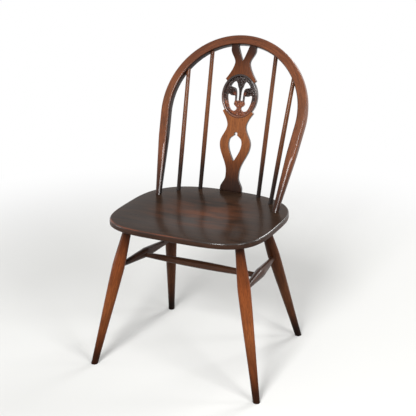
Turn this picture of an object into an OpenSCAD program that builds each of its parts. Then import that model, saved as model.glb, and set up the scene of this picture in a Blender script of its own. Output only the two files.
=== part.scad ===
// Bow-back dining chair: dished plank seat, four splayed turned legs tied by an H of stretchers,
// a bent bow, four round sticks and a flat pierced splat with a carved oval.
// Sizes are in millimetres. The floor is z = 0, the chair faces -Y and is the same on both sides of x = 0.

/* [Seat] */
// Height of the seat's rim above the floor
seat_height = 441; // [400:1:480]
// Width of the seat
seat_width = 466; // [440:1:500]
// From the seat's widest line to its front edge
seat_front_reach = 214; // [200:1:235]
// From the seat's widest line to its back edge
seat_back_reach = 204; // [202:1:225]
// How far the widest line lies in front of the middle of the feet
seat_wide_line = 6.5; // [0:0.5:8]
// Squareness of the front corners (2 is an ellipse)
front_squareness = 3.85; // [3:0.05:6]
// Squareness of the back corners (2 is an ellipse)
back_squareness = 2.74; // [2.4:0.02:3.4]
// Thickness of the plank
seat_thickness = 26; // [24:0.5:34]
// Radius of the rounded top rim
rim_radius = 4.5; // [4:0.5:8]
// Depth of the bevel under the edge
undercut_depth = 9.5; // [8:0.5:14]
// Width of the bevel under the front edge
front_undercut = 38; // [30:1:44]
// Width of the bevel under the side and back edges
side_undercut = 28; // [20:1:32]
// Depth of the dish at its lowest
dish_depth = 8; // [2:0.5:9]
// Width of the level rim behind the dish, which carries the back
back_deck = 52; // [46:1:60]
// Width of the level rim beside the dish
side_deck = 42; // [30:1:46]
// Width of the level rim in front of the dish
front_deck = 26; // [16:1:40]

/* [Legs] */
// Half the spread of the front feet
front_foot_spread = 254; // [230:1:270]
// Half the spread of the back feet
back_foot_spread = 219; // [200:1:240]
// From the middle of the chair's feet to the line of the front or back feet
foot_reach = 209; // [195:1:225]
// Half the spread of the front legs where they enter the seat
front_top_spread = 168; // [155:1:178]
// From the middle of the feet forward to the front legs where they enter the seat
front_top_reach = 136.5; // [125:0.5:145]
// Half the spread of the back legs where they enter the seat
back_top_spread = 146.5; // [138:0.5:154]
// From the middle of the feet back to the back legs where they enter the seat
back_top_reach = 77; // [66:1:84]
// Diameter of a leg at the floor
leg_foot_diameter = 19.4; // [16:0.2:24]
// Largest diameter of a leg
leg_swell_diameter = 35.6; // [32:0.2:40]
// Height of the largest diameter, along the leg
leg_swell_height = 306; // [290:1:330]
// Diameter of a leg where it enters the seat
leg_tenon_diameter = 24; // [20:0.2:25]
// Length of the tenon inside the seat
leg_tenon_length = 17; // [14:0.5:18]

/* [Stretchers] */
// Height of the side stretchers at the front legs
stretcher_front_height = 296; // [270:1:320]
// Height of the side stretchers at the back legs
stretcher_back_height = 284; // [260:1:310]
// Largest diameter of a side stretcher
side_swell_diameter = 29; // [25:0.5:31]
// Diameter of a side stretcher where it enters a leg
side_end_diameter = 14; // [12:0.5:16]
// Largest diameter of the cross stretcher
cross_swell_diameter = 22.5; // [18:0.5:25]
// Diameter of the cross stretcher where it enters a side stretcher
cross_end_diameter = 14.5; // [11:0.5:15]
// How far the cross stretcher lies in front of the middle of the side stretchers
cross_forward = 12; // [0:1:18]
// How far the cross stretcher lies below the middle line of the side stretchers
cross_drop = 3; // [0:0.5:3.5]
// How far a stretcher stops short of the middle of what it enters
stretcher_stop = 1.5; // [0.5:0.5:3]

/* [Bow] */
// Half the width between the feet of the bow, at the seat
bow_foot_spread = 186; // [176:1:192]
// From the middle of the feet back to the feet of the bow
bow_foot_reach = 76; // [68:0.5:82]
// Radius of the bow's round top, to the middle of the wood
bow_radius = 213.5; // [206:0.5:224]
// From the seat up the bow to the centre of its round top
bow_centre_rise = 270; // [255:0.5:290]
// Lean of the bow back from upright, in degrees
bow_lean = 26.1; // [22:0.1:28]
// Width of the bow's front face
bow_face_width = 27.5; // [24:0.5:30]
// Thickness of the bow from front to back
bow_thickness = 25; // [23:0.5:28]
// Radius of the bow's rounded edges
bow_edge_radius = 5; // [3:0.5:7]
// Diameter of the bow's round feet through the seat
bow_tenon_diameter = 18; // [15:0.5:20]
// Widening of the round foot for each millimetre up the bow
bow_foot_taper = 0.088; // [0.07:0.002:0.12]

/* [Sticks] */
// Half the width between the outer sticks at the seat
outer_stick_spread = 148.5; // [144:0.5:154]
// From the middle of the feet back to the outer sticks at the seat
outer_stick_reach = 133; // [128:0.5:144]
// Half the width between the outer sticks at the bow
outer_stick_top_spread = 168; // [160:1:176]
// Half the width between the inner sticks at the seat
inner_stick_spread = 94.5; // [88:0.5:102]
// From the middle of the feet back to the inner sticks at the seat
inner_stick_reach = 171.5; // [164:0.5:175]
// Half the width between the inner sticks at the bow
inner_stick_top_spread = 101; // [94:0.5:110]
// Largest diameter of a stick
stick_swell_diameter = 13.6; // [13:0.2:15]
// Diameter of a stick where it enters the seat
stick_foot_diameter = 12.4; // [10:0.2:13]
// Diameter of a stick where it enters the bow
stick_top_diameter = 12.2; // [10:0.2:13]
// Place of the largest diameter, as a share of the stick's length
stick_swell_share = 0.36; // [0.3:0.02:0.6]
// Depth of a stick's hole in the seat
stick_foot_depth = 15; // [10:0.5:17]

/* [Splat] */
// From the middle of the feet back to the splat at the seat
splat_reach = 185.5; // [178:0.5:187]
// Thickness of the splat
splat_thickness = 11; // [10:0.5:12]
// Width of the splat's foot on the seat
splat_foot_width = 70; // [60:1:80]
// Height of the foot's upright edge
splat_foot_height = 8; // [4:0.5:12]
// Width of the lower neck
lower_neck_width = 41.5; // [36:0.5:48]
// Height of the top of the lower neck above the seat, along the splat
lower_neck_height = 56; // [50:1:62]
// Length of the lower neck
lower_neck_length = 11; // [6:0.5:16]
// Width of the belly
belly_width = 97.5; // [90:0.5:106]
// Height of the belly
belly_height = 143; // [136:1:150]
// Width of the neck under the oval
upper_neck_width = 59.5; // [54:0.5:66]
// Height of the neck under the oval
upper_neck_height = 197; // [192:1:203]
// Width across the small nubs under the oval
nub_width = 98.5; // [96:0.5:104]
// Height of the nubs
nub_height = 236.5; // [233:0.5:240]
// Width of the oval
oval_width = 113.5; // [109:0.5:118]
// Height of the oval from bottom to top
oval_length = 130; // [125:0.2:134]
// Height of the oval's centre
oval_height = 283.8; // [281:0.2:287]
// Width across the shoulders above the oval
shoulder_width = 97.5; // [94:0.5:104]
// Height of the shoulders
shoulder_height = 331.5; // [329:0.5:335]
// Width of the waist under the horns
waist_width = 47; // [42:0.5:52]
// Height of the waist
waist_height = 381; // [376:1:386]
// Width across the two horns at the bow
horn_width = 78; // [72:0.5:84]
// Height where the horns reach their full width
horn_height = 419; // [412:1:423]
// Height of the bottom of the notch between the horns
notch_height = 388; // [386:1:396]
// Width of the notch under the bow
notch_width = 36; // [30:0.5:40]
// Width of the pierced drop in the belly
drop_width = 42; // [34:0.5:46]
// Height of the bottom of the drop
drop_bottom = 92.5; // [88:0.5:98]
// Height of the tip of the drop
drop_top = 177.5; // [174:0.5:182]
// Width of the bead round the oval
bead_width = 6; // [4:0.5:8]
// How far the bead stands proud of the splat's face
bead_height = 1.6; // [1:0.1:2.4]
// Depth of the ground that is carved away inside the bead
carving_depth = 3; // [2:0.2:4]
// How far the flower's petals stand above the carved ground
petal_height = 1.6; // [1:0.1:2]
// How far the flower's middle spear stands above the carved ground
spear_height = 2.2; // [1.4:0.1:2.4]
// Width of the grooves in the petals
vein_width = 1.2; // [0.8:0.1:1.6]

/* [Fits] */
// Room for glue round each tenon
glue_gap = 0.1; // [0.05:0.05:0.2]
// Thick end of a wedge
wedge_thickness = 3; // [2:0.1:4]
// Thin end of a wedge
wedge_tip = 1; // [0.6:0.1:1.4]
// Length of a leg's hidden wedge
leg_wedge_length = 12; // [9:0.5:13]
// Length of a wedge in a foot of the bow
bow_wedge_length = 18; // [12:0.5:20]
// Thickness of the splat's tenons
splat_tenon_thickness = 7; // [5:0.5:8]
// Width of the tenon under the splat
splat_tenon_width = 48; // [40:1:54]
// Depth of the splat's tenon in the seat
splat_tenon_depth = 12; // [8:0.5:14]
// Width of the tenon on each horn
horn_tenon_width = 12; // [8:0.5:14]
// How far the horns' tenons reach into the bow
horn_tenon_depth = 9; // [6:0.5:11]

/* [Hidden] */

$fn = 72;
left = -1;
right = 1;

// Steps along a turned leg, a rail or a stick, and along a run of the splat's outline
leg_steps = 14;
turned_steps = 8;
outline_steps = 12;

// Shares of a leg's taper that follow a soft curve, below and above its swell
leg_curve_below = 0.4;
leg_curve_above = 0.5;
// Swelling of the stretchers' tapers (1 is a straight cone)
side_swelling = 1;
cross_swelling = 1.8;

// Longer than the chair in any direction, for cutting away
beyond = 1500;
// How far a cutter runs past the face that it opens
spare = 3;
// Where a round shape starts its surface, in degrees round it
surface_start = 40;

seat_bottom = seat_height - seat_thickness;
seat_front = seat_wide_line + seat_front_reach;

// Sides of the seat's outline, and steps across its bevel and round its rim
seat_sides = 120;
edge_steps = 4;
// How far the lower edge of the seat is softened
edge_softening = 1.5;
// Swelling of the bevel (1 is flat)
bevel_swelling = 1.25;
// Rings of the dish between its rim and its middle
dish_rings = 8;

// The bow's rearmost point, at the back of its rounded top edge
bow_back = bow_foot_reach
    + (bow_centre_rise + bow_radius + bow_face_width / 2 - bow_edge_radius) * sin(bow_lean)
    + (bow_thickness / 2 - bow_edge_radius) * cos(bow_lean)
    + bow_edge_radius;

// Brings the middle of the chair's box to y = 0
centre_shift = (seat_front - bow_back) / 2;

// The bow's feet run straight down from its round top, turned in by this angle
foot_distance = norm([bow_foot_spread, bow_centre_rise]);
foot_angle = asin(bow_radius / foot_distance) - atan(bow_foot_spread / bow_centre_rise);
foot_length = sqrt(foot_distance * foot_distance - bow_radius * bow_radius);
// The foot stays round this far above the seat, so that it clears the slanted mouth of its hole
foot_round = bow_tenon_diameter / 2 * tan(bow_lean) + spare;
// From the seat's top to its underside along the foot
foot_in_seat = seat_thickness / cos(bow_lean) / cos(foot_angle);

// Length over which a stick stays straight at the bow, to clear the slanted mouth of its hole
slant_room = 1.6;
stick_top_straight = slant_room * bow_face_width / 2 + stick_top_diameter;

// The splat leans so that its top meets the bow this far in front of the middle of the wood
splat_forward = 2;
bow_inner_radius = bow_radius - bow_face_width / 2;
bow_inner_rise = bow_centre_rise + bow_inner_radius;
splat_rise = bow_inner_rise * cos(bow_lean);
splat_run = bow_foot_reach + bow_inner_rise * sin(bow_lean) - splat_forward - splat_reach;
splat_lean = atan(splat_run / splat_rise);
splat_top = norm([splat_rise, splat_run]);
carved_ground = splat_thickness / 2 - carving_depth;

// Flare of the splat's outline below the nubs, above the shoulders and in the notch
nub_flare = 1.6;
shoulder_flare = 1.5;
notch_flare = 0.85;
// How far the short edges of the nubs and shoulders run in under the oval
nub_tuck = 7;
// From the oval's edge out to the bead, and from the bead to the carved ground
bead_margin = 1;
// How far the bead and the raised carving are let into the wood behind them
let_in = 1;

// How far a hole in the seat is cut above its top
mouth = 9;
// How far a horn's tenon is let back into the splat
tenon_root = 12;
// How much slimmer the straight feet of the bow are all round than its round top
foot_slimming = 0.05;
// How much narrower a wedge is than the round it is driven into
wedge_side_room = 1;

// Points along the middle line of a leg or a stretcher
function between(start, end, share) = start + (end - start) * share;
function at_height(start, end, height) = between(start, end, (height - start[2]) / (end[2] - start[2]));
function mirrored(points) = [for (i = [len(points) - 1:-1:0]) [-points[i][0], points[i][1]]];

// Eases from 0 to 1 with a level start and end
function eased(share) = (1 - cos(180 * share)) / 2;
// Part straight line, part eased
function blended(share, curve) = (1 - curve) * share + curve * eased(share);

function front_foot(side) = [side * front_foot_spread, -foot_reach, 0];
function front_top(side) = [side * front_top_spread, -front_top_reach, seat_bottom];
function back_foot(side) = [side * back_foot_spread, foot_reach, 0];
function back_top(side) = [side * back_top_spread, back_top_reach, seat_bottom];
function stretcher_front(side) = at_height(front_foot(side), front_top(side), stretcher_front_height);
function stretcher_back(side) = at_height(back_foot(side), back_top(side), stretcher_back_height);
function cross_end(side) =
    let (front = stretcher_front(side), back = stretcher_back(side),
        share = 1 / 2 - cross_forward / (back[1] - front[1]))
    between(front, back, share) - [0, 0, cross_drop];

// A point on the bow's middle line at a given distance from the chair's middle
function bow_point(x) =
    let (rise = bow_centre_rise + sqrt(bow_radius * bow_radius - x * x))
    [x, bow_foot_reach + rise * sin(bow_lean), seat_height + rise * cos(bow_lean)];

// A smooth curve through a closed list of points
function curve_point(a, b, c, d, t) =
    (2 * b + (c - a) * t + (2 * a - 5 * b + 4 * c - d) * t * t + (3 * b - a - 3 * c + d) * t * t * t) / 2;
function smooth_loop(points, steps = 4) =
    let (n = len(points))
    [for (i = [0:n - 1], k = [0:steps - 1])
        let (before = points[(i + n - 1) % n], next = points[(i + 1) % n], after = points[(i + 2) % n])
        curve_point(before, points[i], next, after, k / steps)];

// Faces that join rings of points, listed one ring after another, with a point at the far middle
function ring_faces(sides, rings) = concat(
    [[for (i = [0:sides - 1]) i]],
    [for (k = [0:rings - 2], i = [0:sides - 1])
        [k * sides + i, (k + 1) * sides + i, (k + 1) * sides + (i + 1) % sides]],
    [for (k = [0:rings - 2], i = [0:sides - 1])
        [k * sides + i, (k + 1) * sides + (i + 1) % sides, k * sides + (i + 1) % sides]],
    [for (i = [0:sides - 1])
        [rings * sides, (rings - 1) * sides + (i + 1) % sides, (rings - 1) * sides + i]]);

// Faces of a closed tube of sections
function tube_faces(sides, sections) = [
    for (k = [0:sections - 1], i = [0:sides - 1], half = [0, 1])
        let (here = k * sides, next = (k + 1) % sections * sides, j = (i + 1) % sides)
        half == 0 ? [here + i, next + j, next + i] : [here + i, here + j, next + j]];

module set_back() {
    translate([0, centre_shift, 0]) children();
}

module along(start, end) {
    run = end - start;
    translate(start)
        rotate([0, acos(run[2] / norm(run)), atan2(run[1], run[0])])
            children();
}

// A round shape set along a line, its surface starting well clear of the tip of any slanted cut
module round_along(start, end) {
    along(start, end) rotate([0, 0, surface_start]) children();
}

module below(height) {
    translate([-beyond / 2, -beyond / 2, height - beyond]) cube(beyond);
}

module both_sides() {
    children();
    mirror([1, 0, 0]) children();
}

module in_bow() {
    translate([0, bow_foot_reach, seat_height]) rotate([90 - bow_lean, 0, 0]) children();
}

// Along one foot of the bow, with the seat's top at 0
module in_bow_foot(side) {
    in_bow()
        translate([0, bow_centre_rise, 0])
            rotate([0, 0, -side * foot_angle])
                translate([side * bow_radius, -foot_length, 0])
                    rotate([-90, 0, 0])
                        children();
}

module in_splat() {
    translate([0, splat_reach, seat_height]) rotate([90 - splat_lean, 0, 0]) children();
}

// Seat

function plan_radius(angle, half_width, reach, squareness) =
    1 / pow(pow(abs(cos(angle)) / half_width, squareness) + pow(abs(sin(angle)) / reach, squareness),
        1 / squareness);

// One ring of the plan, drawn in from the edge by different amounts and shrunk towards its middle
function plan_ring(side_inset, front_inset, back_inset, height, share = 1) = [
    for (i = [0:seat_sides - 1])
        let (angle = i * 360 / seat_sides,
            reach = angle < 180 ? seat_back_reach - back_inset : seat_front_reach - front_inset,
            squareness = angle < 180 ? back_squareness : front_squareness,
            radius = share * plan_radius(angle, seat_width / 2 - side_inset, reach, squareness))
        [radius * cos(angle), radius * sin(angle) - seat_wide_line, height]];

function even_ring(inset, height) = plan_ring(inset, inset, inset, height);

module seat_plank() {
    undercut = [
        for (k = [0:edge_steps])
            let (share = k / edge_steps,
                side_inset = between(side_undercut, edge_softening, share),
                front_inset = between(front_undercut, edge_softening, share))
            plan_ring(side_inset, front_inset, side_inset,
                seat_bottom + undercut_depth * pow(share, bevel_swelling))];
    lower_edge = even_ring(0, seat_bottom + undercut_depth + edge_softening);
    rim = [
        for (k = [0:edge_steps]) let (a = 90 * k / edge_steps)
            even_ring(rim_radius * (1 - cos(a)), seat_height - rim_radius * (1 - sin(a)))];
    dish = [
        for (k = [dish_rings:-1:1]) let (share = k / dish_rings)
            plan_ring(side_deck, front_deck, back_deck,
                seat_height - dish_depth * (1 - eased(share)), share)];
    rings = concat(undercut, [lower_edge], rim, dish);
    middle = [0, -seat_wide_line, seat_height - dish_depth];
    polyhedron(
        points = concat([for (ring = rings) each ring], [middle]),
        faces = ring_faces(seat_sides, len(rings)));
}

module seat() {
    color("#4c3a30") set_back() difference() {
        seat_plank();
        for (side = [left, right]) {
            leg_socket(front_foot(side), front_top(side));
            leg_socket(back_foot(side), back_top(side));
            bow_foot_hole(side);
            stick_foot_hole(outer_stick_foot(side), outer_stick_top(side));
            stick_foot_hole(inner_stick_foot(side), inner_stick_top(side));
        }
        splat_foot_mortise();
    }
}

// Legs

// A leg is straight this far below the seat, so that it clears the slanted mouth of its socket
function leg_neck(foot, top) =
    leg_tenon_diameter / 2 * norm([top[0] - foot[0], top[1] - foot[1]]) / seat_bottom + spare;

function leg_radius_below(share) =
    let (rise = blended(share, leg_curve_below))
    (leg_foot_diameter + (leg_swell_diameter - leg_foot_diameter) * rise) / 2;

function leg_radius_above(share) =
    let (fall = blended(share, leg_curve_above))
    (leg_swell_diameter + (leg_tenon_diameter - leg_swell_diameter) * fall) / 2;

module leg_blank(foot, top) {
    length = norm(top - foot);
    neck = length - leg_neck(foot, top);
    profile = concat(
        [[0, -leg_foot_diameter], [leg_foot_diameter / 2, -leg_foot_diameter]],
        [for (k = [0:leg_steps]) [leg_radius_below(k / leg_steps), leg_swell_height * k / leg_steps]],
        [for (k = [1:leg_steps])
            [leg_radius_above(k / leg_steps), leg_swell_height + (neck - leg_swell_height) * k / leg_steps]],
        [[leg_tenon_diameter / 2, length + leg_tenon_length], [0, length + leg_tenon_length]]);
    round_along(foot, top) rotate_extrude() polygon(profile);
}

module leg_socket(foot, top) {
    length = norm(top - foot);
    neck = leg_neck(foot, top);
    round_along(foot, top)
        translate([0, 0, length - neck])
            cylinder(d = leg_tenon_diameter + 2 * glue_gap, h = neck + leg_tenon_length + glue_gap);
}

// A wedge's outline, thick end at 0 and thin end up, grown all round by the play
module wedge_outline(length, play = 0) {
    polygon([
        [-wedge_thickness / 2 - play, -play], [wedge_thickness / 2 + play, -play],
        [wedge_tip / 2 + play, length + play], [-wedge_tip / 2 - play, length + play]]);
}

module wedge(length, width, play = 0) {
    rotate([90, 0, 0])
        translate([0, 0, -width / 2])
            linear_extrude(width) wedge_outline(length, play);
}

module leg_wedge(foot, top, width, play = 0) {
    along(foot, top)
        translate([0, 0, norm(top - foot) + leg_tenon_length])
            mirror([0, 0, 1])
                wedge(leg_wedge_length, width, play);
}

module leg(foot, top, stretcher_start, stretcher_end) {
    color("#8f4f2b") set_back() difference() {
        leg_blank(foot, top);
        below(0);
        stretcher_hole(stretcher_start, stretcher_end, side_end_diameter, leg_swell_diameter);
        leg_wedge(foot, top, leg_tenon_diameter + spare, glue_gap);
    }
}

module front_leg(side) {
    leg(front_foot(side), front_top(side), stretcher_front(side), stretcher_back(side));
}

module back_leg(side) {
    leg(back_foot(side), back_top(side), stretcher_back(side), stretcher_front(side));
}

module leg_wedges() {
    color("#c69a6a") set_back()
        for (side = [left, right]) {
            leg_wedge(front_foot(side), front_top(side), leg_tenon_diameter - wedge_side_room);
            leg_wedge(back_foot(side), back_top(side), leg_tenon_diameter - wedge_side_room);
        }
}

// Stretchers

// A turned rail that swells in the middle, round and straight where it enters at each end
module rail(start, end, end_diameter, swell_diameter, entered_diameter, swelling) {
    length = norm(end - start);
    straight = entered_diameter / 2 + spare;
    reach = length / 2 - straight;
    function radius(share) = (swell_diameter - (swell_diameter - end_diameter) * pow(share, swelling)) / 2;
    half = [for (k = [0:turned_steps]) [radius(1 - k / turned_steps), straight + reach * k / turned_steps]];
    other_half = [for (k = [turned_steps - 1:-1:0]) [half[k][0], length - half[k][1]]];
    profile = concat(
        [[0, stretcher_stop], [end_diameter / 2, stretcher_stop]],
        half, other_half,
        [[end_diameter / 2, length - stretcher_stop], [0, length - stretcher_stop]]);
    round_along(start, end) rotate_extrude() polygon(profile);
}

module stretcher_hole(start, end, end_diameter, entered_diameter) {
    round_along(start, end)
        translate([0, 0, stretcher_stop - glue_gap])
            cylinder(d = end_diameter + 2 * glue_gap, h = entered_diameter);
}

module side_stretcher(side) {
    color("#5e3a28") set_back() difference() {
        rail(stretcher_front(side), stretcher_back(side), side_end_diameter, side_swell_diameter,
            leg_swell_diameter, side_swelling);
        stretcher_hole(cross_end(side), cross_end(-side), cross_end_diameter,
            side_swell_diameter);
    }
}

module stretcher_cross() {
    color("#5e3a28") set_back()
        rail(cross_end(left), cross_end(right), cross_end_diameter, cross_swell_diameter,
            side_swell_diameter, cross_swelling);
}

// Bow

// The bow's section, drawn in all round by the slimming
module bow_section(slimming = 0) {
    corner_x = bow_face_width / 2 - bow_edge_radius;
    corner_y = bow_thickness / 2 - bow_edge_radius;
    radius = bow_edge_radius - slimming;
    polygon([
        for (quarter = [0:3], k = [0:edge_steps])
            let (angle = 90 * (quarter + k / edge_steps),
                x = quarter == 0 || quarter == 3 ? corner_x : -corner_x,
                y = quarter < 2 ? corner_y : -corner_y)
            [x + radius * cos(angle), y + radius * sin(angle)]]);
}

// The feet are drawn a hair slimmer than the round top, and run a little way into it
module bow_blank() {
    in_bow()
        translate([0, bow_centre_rise, 0])
            rotate([0, 0, -foot_angle])
                rotate_extrude(angle = 180 + 2 * foot_angle)
                    translate([bow_radius, 0])
                        bow_section();
    for (side = [left, right])
        in_bow_foot(side) {
            intersection() {
                translate([0, 0, foot_round])
                    linear_extrude(foot_length - foot_round + let_in)
                        bow_section(foot_slimming);
                translate([0, 0, foot_round])
                    cylinder(d1 = bow_tenon_diameter,
                        d2 = bow_tenon_diameter + bow_foot_taper * foot_length,
                        h = foot_length);
            }
            translate([0, 0, -foot_in_seat - bow_tenon_diameter])
                cylinder(d = bow_tenon_diameter,
                    h = foot_in_seat + bow_tenon_diameter + foot_round + spare);
        }
}

module bow_foot_hole(side) {
    in_bow_foot(side)
        translate([0, 0, -foot_in_seat - bow_tenon_diameter])
            cylinder(d = bow_tenon_diameter + 2 * glue_gap,
                h = foot_in_seat + 2 * bow_tenon_diameter);
}

// A wedge driven up into a foot of the bow from the underside of the seat
module bow_wedge(side, width, play = 0) {
    in_bow_foot(side)
        translate([0, 0, -foot_in_seat - foot_round])
            wedge(bow_wedge_length + foot_round, width, play);
}

module bow() {
    color("#84543e") set_back() difference() {
        bow_blank();
        below(seat_bottom);
        for (side = [left, right]) {
            bow_wedge(side, bow_tenon_diameter + spare, glue_gap);
            stick_top_hole(outer_stick_foot(side), outer_stick_top(side));
            stick_top_hole(inner_stick_foot(side), inner_stick_top(side));
            horn_tenon(side, glue_gap);
        }
    }
}

module bow_wedges() {
    color("#c69a6a") set_back() difference() {
        for (side = [left, right]) bow_wedge(side, bow_tenon_diameter - wedge_side_room);
        below(seat_bottom);
    }
}

// Sticks

function outer_stick_foot(side) = [side * outer_stick_spread, outer_stick_reach, seat_height];
function outer_stick_top(side) = bow_point(side * outer_stick_top_spread);
function inner_stick_foot(side) = [side * inner_stick_spread, inner_stick_reach, seat_height];
function inner_stick_top(side) = bow_point(side * inner_stick_top_spread);

module stick(foot, top) {
    length = norm(top - foot);
    swell = stick_swell_share * length;
    straight = length - stick_top_straight;
    function radius(from, to, share) = (from + (to - from) * eased(share)) / 2;
    profile = concat(
        [[0, -stick_foot_depth], [stick_foot_diameter / 2, -stick_foot_depth]],
        [for (k = [0:turned_steps])
            [radius(stick_foot_diameter, stick_swell_diameter, k / turned_steps),
                spare + (swell - spare) * k / turned_steps]],
        [for (k = [1:turned_steps])
            [radius(stick_swell_diameter, stick_top_diameter, k / turned_steps),
                swell + (straight - swell) * k / turned_steps]],
        [[stick_top_diameter / 2, length], [0, length]]);
    color("#9a5a3c") set_back() round_along(foot, top) rotate_extrude() polygon(profile);
}

module stick_foot_hole(foot, top) {
    round_along(foot, top)
        translate([0, 0, -stick_foot_depth - glue_gap])
            cylinder(d = stick_foot_diameter + 2 * glue_gap, h = stick_foot_depth + mouth);
}

module stick_top_hole(foot, top) {
    length = norm(top - foot);
    round_along(foot, top)
        translate([0, 0, length - stick_top_straight])
            cylinder(d = stick_top_diameter + 2 * glue_gap, h = stick_top_straight + glue_gap);
}

// Splat

// One side of the outline from one height to another, eased or bent by a power
function eased_run(width_low, width_high, low, high) = [
    for (k = [0:outline_steps]) let (share = k / outline_steps)
        [between(width_low, width_high, eased(share)) / 2, between(low, high, share)]];
function flared_run(width_low, width_high, low, high, power) = [
    for (k = [0:outline_steps])
        let (share = k / outline_steps,
            bent = width_high > width_low ? pow(share, power) : 1 - pow(1 - share, power))
        [between(width_low, width_high, bent) / 2, between(low, high, share)]];

module splat_outline() {
    one_side = concat(
        [[splat_foot_width / 2, -splat_thickness]],
        eased_run(splat_foot_width, lower_neck_width,
            splat_foot_height, lower_neck_height - lower_neck_length),
        eased_run(lower_neck_width, belly_width, lower_neck_height, belly_height),
        eased_run(belly_width, upper_neck_width, belly_height, upper_neck_height),
        flared_run(upper_neck_width, nub_width, upper_neck_height, nub_height, nub_flare),
        [[nub_width / 2 - nub_tuck, nub_height + nub_tuck]],
        [[shoulder_width / 2 - nub_tuck, shoulder_height - nub_tuck]],
        flared_run(shoulder_width, waist_width, shoulder_height, waist_height, shoulder_flare),
        eased_run(waist_width, horn_width, waist_height, horn_height),
        [[horn_width / 2, splat_top + splat_thickness]]);
    polygon(concat(one_side, mirrored(one_side)));
}

module oval(width, length, sides = 72) {
    polygon([
        for (i = [0:sides - 1]) let (angle = 360 * i / sides)
            [width / 2 * cos(angle), oval_height + length / 2 * sin(angle)]]);
}

module horn_notch() {
    depth = splat_top - notch_height;
    one_side = concat(
        [for (k = [0:turned_steps]) let (share = k / turned_steps)
            [notch_width / 2 * pow(share, notch_flare), notch_height + depth * share]],
        [[notch_width / 2, splat_top + 2 * splat_thickness]]);
    polygon(concat(one_side, [for (p = mirrored(one_side)) if (p[0] < 0) p]));
}

// The drop's half-width and height, as shares of its size
drop_outline = [
    [0.28, 0.1], [0.58, 0.24], [0.88, 0.42], [1, 0.6], [0.86, 0.76], [0.4, 0.86], [0.2, 0.9], [0.24, 0.96]];

module drop() {
    one_side = [
        for (p = drop_outline) [p[0] * drop_width / 2, drop_bottom + p[1] * (drop_top - drop_bottom)]];
    polygon(smooth_loop(concat([[0, drop_bottom]], one_side, [[0, drop_top]], mirrored(one_side))));
}

// The carved flower's openings and raised parts, from the oval's centre, for an oval of this size
drawn_width = 113.5;
drawn_length = 130;

upper_opening = [
    [15.5, 43], [10.5, 37], [8, 28.5], [4.5, 21], [2.5, 9], [2.2, -3], [2.2, -12], [9.5, -12.5],
    [10.5, -3], [11, 8], [13, 18], [16.5, 23], [24, 25.5], [31, 28], [28, 34], [23, 40]];
lower_opening = [
    [15, 0.5], [14.4, -5], [14.3, -13], [16, -19.5], [16.5, -24], [13, -28.5], [7.5, -33], [7, -38.5],
    [12, -43], [18.5, -44], [26.5, -40], [32.5, -29.5], [37, -15.5], [39, -4], [38.5, 3], [33, 4], [27, 1],
    [20, 0.5]];
petal = [
    [13.5, 4], [12.6, 12], [14.5, 19], [19, 22.5], [27, 23.5], [35, 24], [38, 17], [37.5, 9], [32, 7.5],
    [26, 4], [20, 3]];
spear = [[0, 50], [6, 45], [7.5, 37], [5.2, 27], [2.6, 20], [1.4, 8], [1.4, -10]];
vein_lines = [[[17, 8], [33, 20]], [[16, 13], [26, 21.5]], [[23, 7], [36, 13]]];
base_block = [[13, -14], [14.6, -22], [6.6, -31], [6, -38], [9, -45], [0, -52]];

module flower(points) {
    polygon([
        for (p = points)
            [p[0] * oval_width / drawn_width, oval_height + p[1] * oval_length / drawn_length]]);
}

// Flat pieces of the flower that stand a little above the carved ground
module raised(points, height) {
    translate([0, 0, carved_ground - let_in]) linear_extrude(height + let_in) flower(points);
}

// The vein grooves of a petal, cut to a V
module vein(start, end, width) {
    place_start = [start[0] * oval_width / drawn_width, oval_height + start[1] * oval_length / drawn_length];
    place_end = [end[0] * oval_width / drawn_width, oval_height + end[1] * oval_length / drawn_length];
    run = place_end - place_start;
    translate([place_start[0], place_start[1], carved_ground + petal_height])
        rotate([0, 0, atan2(run[1], run[0])])
            rotate([45, 0, 0])
                translate([0, -width / 2, -width / 2])
                    cube([norm(run), width, width]);
}

module bead() {
    sections = 60;
    arc_steps = 6;
    inset = bead_margin + bead_width / 2;
    sides = arc_steps + 3;
    points = [
        for (k = [0:sections - 1], j = [0:sides - 1])
            let (turn = 360 * k / sections,
                angle = 180 * j / arc_steps,
                out = j <= arc_steps ? cos(angle) : j == arc_steps + 1 ? -1 : 1,
                rise = j <= arc_steps ? bead_height * sin(angle) : -let_in,
                offset_out = bead_width / 2 * out - inset)
            [(oval_width / 2 + offset_out) * cos(turn),
                oval_height + (oval_length / 2 + offset_out) * sin(turn),
                splat_thickness / 2 + rise]];
    polyhedron(points = points, faces = tube_faces(sides, sections));
}

module splat_body() {
    ground_inset = 2 * (bead_width + 2 * bead_margin);
    difference() {
        translate([0, 0, -splat_thickness / 2])
            linear_extrude(splat_thickness)
                difference() {
                    union() {
                        splat_outline();
                        oval(oval_width, oval_length);
                    }
                    horn_notch();
                    drop();
                }
        translate([0, 0, carved_ground])
            linear_extrude(carving_depth + spare)
                oval(oval_width - ground_inset, oval_length - ground_inset);
    }
    bead();
    raised(concat(spear, mirrored(spear)), spear_height);
    raised(concat(base_block, mirrored(base_block)), petal_height);
    both_sides() raised(petal, petal_height);
}

// The tenon on a horn, grown all round by the play
module horn_tenon(side, play = 0) {
    middle = side * (horn_width + notch_width) / 4;
    start = splat_top - tenon_root;
    in_splat()
        translate([middle - horn_tenon_width / 2 - play, start, -splat_tenon_thickness / 2 - play])
            cube([horn_tenon_width + 2 * play, tenon_root + horn_tenon_depth + play,
                splat_tenon_thickness + 2 * play]);
}

module splat_foot_tenon(play = 0, above = 0) {
    in_splat()
        translate([-splat_tenon_width / 2 - play, -splat_tenon_depth - play,
            -splat_tenon_thickness / 2 - play])
            cube([splat_tenon_width + 2 * play, splat_tenon_depth + play + above,
                splat_tenon_thickness + 2 * play]);
}

module splat_foot_mortise() {
    splat_foot_tenon(glue_gap, mouth);
}

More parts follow.
